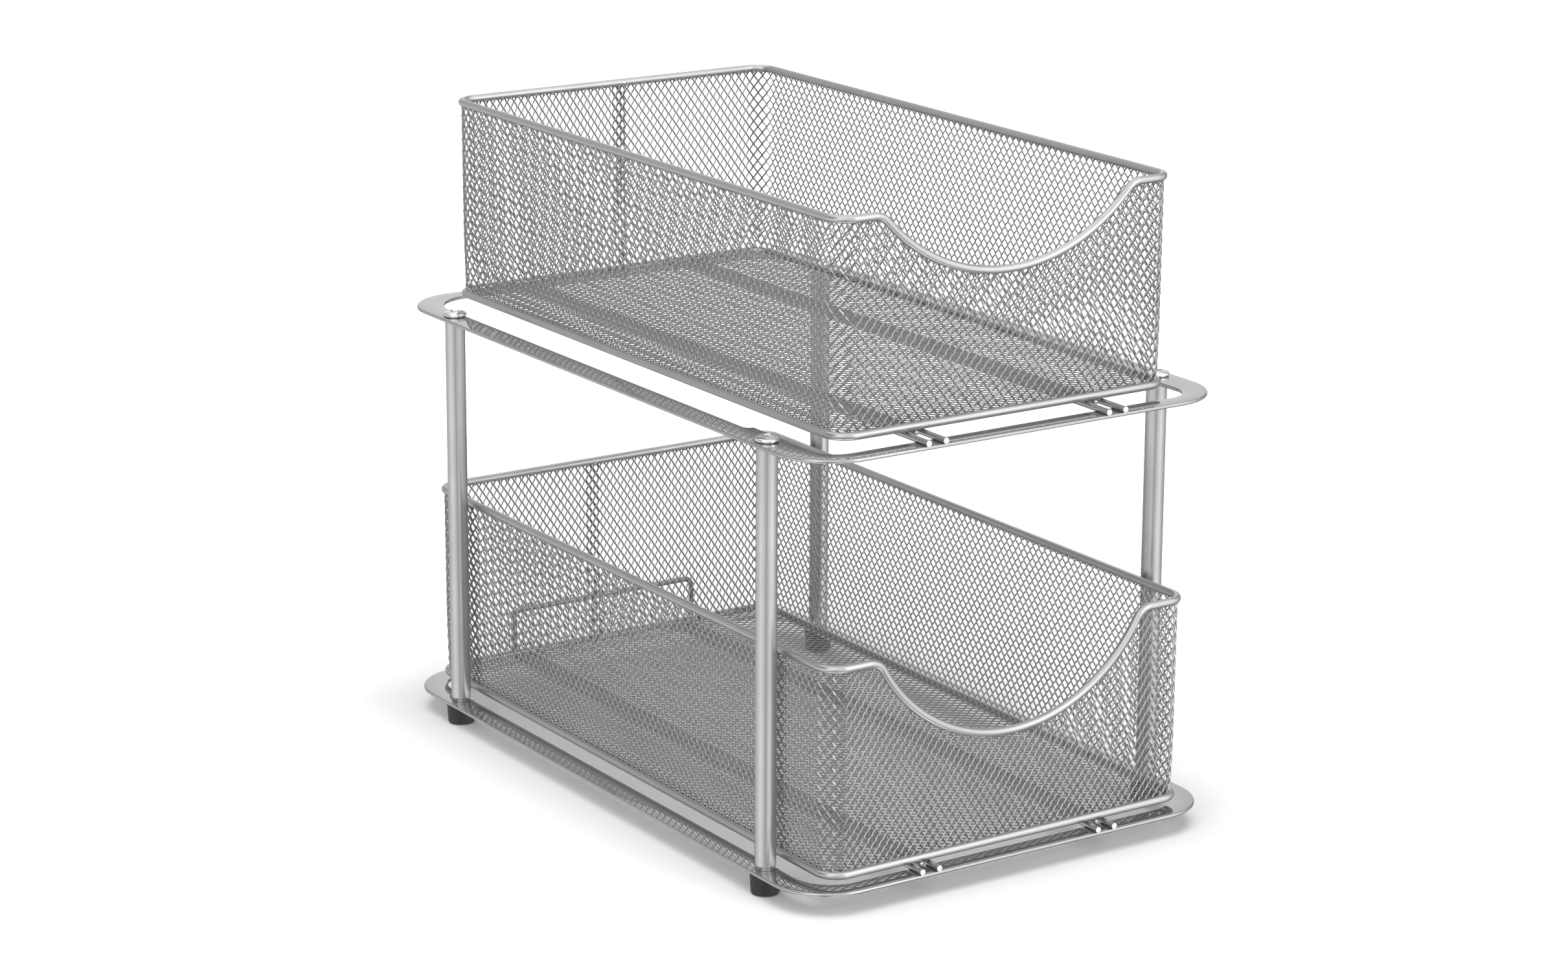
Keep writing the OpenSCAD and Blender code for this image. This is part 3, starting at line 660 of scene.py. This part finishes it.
# The baskets' wires: a 5 mm rim and base ring each, bent to a rectangle with round corners and butt welded at the
# rear, with two thinner runners welded under the ring. The rim dips at the front as a grip. Where the strands of the
# mesh are welded under the rim, each weld leaves a small bead.
HOOP_D, BASKET_H, BASKET_CORNER, TAPER = 5.0, 125.0, 13.0, 0.5
RUNNER_D, RUNNER_REACH, RIDE_GAP, NOSE_START = 3.4, 2.5, 0.3, 0.12
DIP_BEND = 12.0
STRAIGHT_STEPS, CORNER_STEPS, DIP_STEPS, DIP_BEND_STEPS = 25, 13, 61, 14
BUTT_BEAD, BUTT_REACH, BUTT_HALF = 0.25, 0.9, 2.4
BEAD_START, BEAD_PITCH, BEAD_IN, BEAD_DOWN, BEAD_R, BEAD_H = 3.0, 6.2, 1.5, 1.9, 0.75, 1.25
STRAIGHT_FRONT = -0.999999
ring_up = rail_z + RAIL_D / 2 + RIDE_GAP + HOOP_D / 2
BASKETS = {
    "upper": dict(w=236.1, d=436.0, top=UPPER_TOP, dip=41.0, dip_r=116.5, seam=9.1, lap=13.5, weld=8.2),
    "lower": dict(w=258.3, d=458.0, top=LOWER_TOP, dip=58.5, dip_r=106.5, seam=-6.3, lap=12.7, weld=-8.7),
}
wire_paint = lacquered("wire_paint", SILVER, metallic=0.85, roughness=0.30, flake=0.03, peel=1.5e-6)


def loop_at(s, w, d):
    """Centre point and outward normal of the rounded rectangle at the distance s from its rear middle, going
    counter-clockwise: the centre moves on the straight sides and the normal turns in the corners, each in step with
    s, and the line itself is the centre plus the corner's radius times the normal."""
    flat_x, flat_y, arc = w / 2 - BASKET_CORNER, d / 2 - BASKET_CORNER, BASKET_CORNER * np.pi / 2
    knots = np.cumsum([0, flat_x, arc, 2 * flat_y, arc, 2 * flat_x, arc, 2 * flat_y, arc, flat_x])
    s = np.asarray(s) % knots[-1]
    angle = np.interp(s, knots, np.array([1, 1, 2, 2, 3, 3, 4, 4, 5, 5]) * np.pi / 2)
    x = np.interp(s, knots, np.array([0, -1, -1, -1, -1, 1, 1, 1, 1, 0]) * flat_x)
    y = np.interp(s, knots, np.array([1, 1, 1, -1, -1, -1, -1, 1, 1, 1]) * flat_y)
    return np.stack([x, y], -1), np.stack([np.cos(angle), np.sin(angle)], -1), knots


def dip_reach(dip, dip_r):
    """How far from the middle the small bend beside the dip ends."""
    return np.sqrt((dip_r + DIP_BEND) ** 2 - (dip_r - dip + DIP_BEND) ** 2)


def dip_line(x, dip, dip_r):
    """Height of the rim's centre line over x across the front, with the straight rim at 0: the large arc in the
    middle, a small bend of the other hand at each side, and straight wire beyond."""
    x_bend = dip_reach(dip, dip_r)
    x_join = x_bend * dip_r / (dip_r + DIP_BEND)
    x = np.abs(x)
    large = dip_r - dip - np.sqrt(np.maximum(dip_r**2 - np.minimum(x, dip_r) ** 2, 0))
    small = -DIP_BEND + np.sqrt(np.maximum(DIP_BEND**2 - np.clip(x_bend - x, 0, DIP_BEND) ** 2, 0))
    return np.where(x < x_join, large, small)


def hoop_stations(w, d, dip=None, dip_r=None):
    """Distances round a hoop at which its wire gets a ring of points: close in the bends, wide on the straights."""
    knots = loop_at(0.0, w, d)[2]
    steps = (STRAIGHT_STEPS, CORNER_STEPS)
    stations = [np.linspace(a, b, steps[i % 2]) for i, (a, b) in enumerate(zip(knots[:-1], knots[1:]))]
    if dip:
        x_bend = dip_reach(dip, dip_r)
        lean = np.arcsin(x_bend / (dip_r + DIP_BEND))
        large = dip_r * np.sin(np.linspace(-lean, lean, DIP_STEPS))
        small = x_bend - DIP_BEND * np.sin(np.linspace(0, lean, DIP_BEND_STEPS))
        stations += [knots[4] + w / 2 - BASKET_CORNER + part for part in (large, small, -small)]
    return np.unique(np.round(np.concatenate(stations), 4))[:-1]


def upright(normal):
    """Plan directions as directions in space."""
    return np.concatenate([normal, np.zeros((len(normal), 1))], 1)


bead_turn = np.linspace(-np.pi / 2, np.pi / 2, 7)[1:-1]
bead_profile = BEAD_R * np.cos(bead_turn), BEAD_H * np.sin(bead_turn)
nose = np.linspace(NOSE_START, np.pi / 2, 7)
nose_y, nose_r = RUNNER_D / 2 * (1 - np.cos(nose)), RUNNER_D / 2 * np.sin(nose)
for tier, b in BASKETS.items():
    body = f"{tier}_basket"
    rim_z = b["top"] + ring_up + BASKET_H
    around = loop_at(0.0, b["w"], b["d"])[2][-1]
    weld_at = -b["weld"] % around
    stations = hoop_stations(b["w"], b["d"], b["dip"], b["dip_r"])
    stations = np.unique(np.concatenate([stations, weld_at + np.linspace(-BUTT_HALF, BUTT_HALF, 13)]))
    centre, normal, _ = loop_at(stations, b["w"], b["d"])
    flat = centre + BASKET_CORNER * normal
    drop = np.where(normal[:, 1] < STRAIGHT_FRONT, dip_line(flat[:, 0], b["dip"], b["dip_r"]), 0.0)
    bead = BUTT_BEAD * np.exp(-(((stations - weld_at) / BUTT_REACH) ** 2))
    path = np.column_stack([flat, rim_z + drop - bead])
    points, polygons = wire(path, HOOP_D / 2 + bead, upright(normal), closed=True)
    add_piece(f"rim_wire_{tier}", points, polygons, wire_paint, body, "wire_paint", f"{tier}_rim")

    centre, normal, _ = loop_at(np.arange(BEAD_START, around, BEAD_PITCH), b["w"], b["d"])
    at_rim = centre + (BASKET_CORNER - BEAD_IN) * normal
    dip = np.where(normal[:, 1] < STRAIGHT_FRONT, dip_line(at_rim[:, 0], b["dip"], b["dip_r"]), 0.0)
    places = np.column_stack([at_rim, rim_z + dip - BEAD_DOWN])
    points, polygons = gathered([turned(*bead_profile, place, 8, close=False) for place in places])
    name, node = f"rim_weld_beads_{tier}", f"{tier}_rim"
    add_piece(name, points, polygons, wire_paint, body, "wire_paint", node, soft_edge=80.0)

    ring_w = b["w"] - 2 * TAPER
    centre, normal, _ = loop_at(hoop_stations(ring_w, b["d"]), ring_w, b["d"])
    flat = centre + BASKET_CORNER * normal
    path = np.column_stack([flat, np.full(len(flat), b["top"] + ring_up)])
    points, polygons = wire(path, HOOP_D / 2, upright(normal), closed=True)
    add_piece(f"ring_wire_{tier}", points, polygons, wire_paint, body, "wire_paint", f"{tier}_base_ring")

    length = b["d"] + 2 * RUNNER_REACH
    along = np.concatenate([nose_y, [length / 2], length - nose_y[::-1]]) - length / 2
    runner_radius = np.concatenate([nose_r, [RUNNER_D / 2], nose_r[::-1]])
    runner_z = b["top"] + ring_up - HOOP_D / 2 + WELD - RUNNER_D / 2
    for side, sign in (("left", -1), ("right", 1)):
        points, polygons = wire(line_at(sign * RAIL_GAUGE / 2, along, runner_z), runner_radius, (1, 0, 0))
        name, node = f"runner_wire_{tier}_{side}", f"{tier}_runner_{side}"
        add_piece(name, points, polygons, rail_wire, body, "rail_wire", node)


# The baskets' mesh: expanded steel, slit and drawn out into diamonds, and lacquered. The strip that runs round each
# basket has upright diamonds, is welded inside the base ring, and laps over itself at the rear; its strands stand on
# edge by 45 degrees. The floor is a flat sheet with its diamonds lying across and its strands rolled nearly flat.
WALL_STRAND, FLOOR_STRAND = (0.76, 0.90, 45.0), (0.74, 0.72, -6.0)
BOND_L = 0.5
WALL_H, FLOOR_W, FLOOR_D = 7.75, 7.9, 6.1
STRIP_BELOW, FOOT_INSET, CORNER_INSET, INSET_H = 1.2, 2.9, 4.6, 45.0
LAP_LIFT, LAP_RUN, LAP_RAMP = 0.5, 40.0, 25.0
# Widths of the strip's diamonds on the rear, left, front and right side and again at the rear.
DRAWN = {"upper": (5.2, 6.3, 6.2, 6.15, 5.8), "lower": (5.4, 6.3, 5.4, 6.1, 5.4)}
# The mesh lacquer is set darker than the wires' silver; part of that darkening is painted shade for the baskets'
# shaded insides.
mesh_paint = lacquered("mesh_paint", (0.345, 0.347, 0.35), metallic=0.75, roughness=0.30, flake=0.04, peel=1e-6)


def strands(bonds, tall, section, low, high, place):
    """Expanded metal as (points, polygons): wavy strands side by side, bonded along the lines bonds in diamonds of
    the given height. A strand's section is its width, thickness and tilt. Between two bonds a strand's middle swings
    from one line to the other as t (6 - t^2) / 5, for t from -1 to 1, and out of the sheet with it, so that bonded
    strands share one tilted face. The section is square to that line. Strand k is cut off at low[k] and high[k], and
    place(across, along, out) carries the sheet into space."""
    strand_w, strand_t, tilt = section
    tilted = np.array([np.cos(np.radians(tilt)), 0.0, np.sin(np.radians(tilt))])
    half_h = tall / 2
    first = np.floor(low.min() / half_h)
    rows = int(np.ceil(high.max() / half_h) - first) + 2
    count = len(bonds) - 1
    k = np.arange(count)[:, None, None]
    j = np.arange(rows)[None, :, None]
    side = np.where((k + j) % 2 == 1, 1.0, -1.0)
    t = np.array([-1.0, -0.4, 0.4, 1.0])
    free = half_h - BOND_L
    swing = np.diff(bonds)[:, None, None] / 2 - strand_w / 2 * tilted[0]
    lift = strand_w / 2 * tilted[2]
    turn = side * t * (6 - t**2) / 5
    across = (bonds[1:] + bonds[:-1])[:, None, None] / 2 - swing * turn
    along = (first + j) * half_h + BOND_L / 2 + free * (t + 1) / 2 + 0 * turn
    middle = np.stack([across, along, lift * turn], -1).reshape(count, -1, 3)
    slope = side * np.where(np.abs(t) < 1, 1.0, 0.5) * (6 - 3 * t**2) / 5 / (free / 2)
    run = np.stack([-swing * slope, np.ones_like(turn), lift * slope], -1).reshape(count, -1, 3)
    run = run / np.linalg.norm(run, axis=-1, keepdims=True)
    blade = tilted - (run @ tilted)[..., None] * run
    blade = blade / np.linalg.norm(blade, axis=-1, keepdims=True)
    skin = np.cross(run, blade)
    edge_share = np.array([1, -1, -1, 1])[:, None] * strand_w / 2
    skin_share = np.array([1, 1, -1, -1])[:, None] * strand_t / 2
    corners = middle[:, :, None] + edge_share * blade[:, :, None] + skin_share * skin[:, :, None]
    along = middle[..., 1]
    gap = np.diff(along, axis=1)
    share_high = np.clip((high[:, None] - along[:, :-1]) / gap, 0, 1)[..., None, None]
    share_low = np.clip((along[:, 1:] - low[:, None]) / gap, 0, 1)[..., None, None]
    lower, upper = corners[:, :-1], corners[:, 1:]
    bottom_end = upper + (lower - upper) * share_low
    top_end = lower + (upper - lower) * share_high
    kept = (share_high[..., 0, 0] > 0) & (share_low[..., 0, 0] > 0)
    clipped = corners.copy()
    starts = kept & ~np.pad(kept, ((0, 0), (1, 0)))[:, :-1]
    ends = kept & ~np.pad(kept, ((0, 0), (0, 1)))[:, 1:]
    clipped[:, :-1][starts] = bottom_end[starts]
    clipped[:, 1:][ends] = top_end[ends]
    points = place(clipped[..., 0], clipped[..., 1], clipped[..., 2])
    number = np.arange(corners[..., 0].size).reshape(corners.shape[:3])
    ahead = np.roll(number, -1, 2)
    quads = np.stack([number[:, :-1], ahead[:, :-1], ahead[:, 1:], number[:, 1:]], -1)[kept].reshape(-1, 4)
    caps = np.concatenate([number[:, :-1][starts][:, ::-1], number[:, 1:][ends]])
    used = np.unique(np.concatenate([quads.ravel(), caps.ravel()]))
    renumber = np.zeros(number.size, np.int64)
    renumber[used] = np.arange(len(used))
    return points.reshape(-1, 3)[used], [renumber[quads], renumber[caps]]


def add_mesh(name, sheet, body, node):
    """A sheet of strands (points, polygons) as one piece of the object."""
    add_piece(name, *sheet, mesh_paint, body, "mesh_paint", node, soft_edge=0)


for tier, b in BASKETS.items():
    body = f"{tier}_basket"
    ring_z = b["top"] + ring_up
    ring_w = b["w"] - 2 * TAPER
    flat_x = ring_w / 2 - BASKET_CORNER
    knots = loop_at(0.0, ring_w, b["d"])[2]
    turns = knots[[2, 4, 6, 8]] - BASKET_CORNER * np.pi / 4
    begin, finish = -b["seam"], knots[-1] - b["seam"] + b["lap"]
    at = np.array([begin, *turns, finish])
    strand_at = np.concatenate([[0], np.cumsum(np.diff(at) / np.array(DRAWN[tier]) * 2)])
    bonds = np.interp(np.arange(int(strand_at[-1]) + 1), strand_at, at)
    middles = (bonds[1:] + bonds[:-1]) / 2
    centre, normal, _ = loop_at(middles, ring_w, b["d"])
    dip = dip_line(centre[:, 0], b["dip"], b["dip_r"])
    high = BASKET_H + np.where(normal[:, 1] < STRAIGHT_FRONT, dip, 0.0)
    low = np.full(len(high), -STRIP_BELOW)

    def on_wall(s, up, out):
        """The strip in space: the ring's outline, widening to the rim's with height, moved out along its normal and
        in again at the foot, where it is welded inside the ring. At the lap its end lies outside its beginning."""
        centre, normal, _ = loop_at(s, ring_w, b["d"])
        over, under = (s - finish + LAP_RUN) / LAP_RAMP, (begin + LAP_RUN - s) / LAP_RAMP
        lift = LAP_LIFT * np.clip(over, 0, 1) - LAP_LIFT * np.clip(under, 0, 1)
        widen = 1 + TAPER * (up / BASKET_H) / flat_x
        inset = FOOT_INSET - CORNER_INSET * np.abs(normal[..., 0] * normal[..., 1])
        push = BASKET_CORNER + out + lift - inset * np.clip(1 - up / INSET_H, 0, 1) ** 1.5
        x, y = centre[..., 0] * widen + push * normal[..., 0], centre[..., 1] + push * normal[..., 1]
        return np.stack([x, y, ring_z + up], -1)

    cuts = np.linspace(0, len(middles) // 2, 4).astype(int) * 2
    for part, first, last in zip(("left", "front", "right"), cuts[:-1], cuts[1:]):
        sheet = strands(bonds[first : last + 1], WALL_H, WALL_STRAND, low[first:last], high[first:last], on_wall)
        add_mesh(f"wall_strands_{tier}_{part}", sheet, body, f"{tier}_wall_mesh")

    inside_w, inside_d = ring_w / 2, b["d"] / 2
    bonds = np.arange(1 - inside_d, inside_d - 1, FLOOR_D / 2)
    middles = (bonds[1:] + bonds[:-1]) / 2
    into_corner = np.clip(np.abs(middles) - (inside_d - BASKET_CORNER), 0, BASKET_CORNER)
    reach = inside_w - BASKET_CORNER + np.sqrt(BASKET_CORNER**2 - into_corner**2)

    def on_floor(y, x, out):
        """The floor in space: flat, at the middle height of the base ring, with the strands running across."""
        return np.stack([-x, y, ring_z + out], -1)

    halfway = len(middles) // 4 * 2
    for part, first, last in (("front", 0, halfway), ("rear", halfway, len(middles))):
        side = reach[first:last]
        sheet = strands(bonds[first : last + 1], FLOOR_W, FLOOR_STRAND, -side, side, on_floor)
        add_mesh(f"floor_strands_{tier}_{part}", sheet, body, f"{tier}_floor_mesh")


low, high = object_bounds()
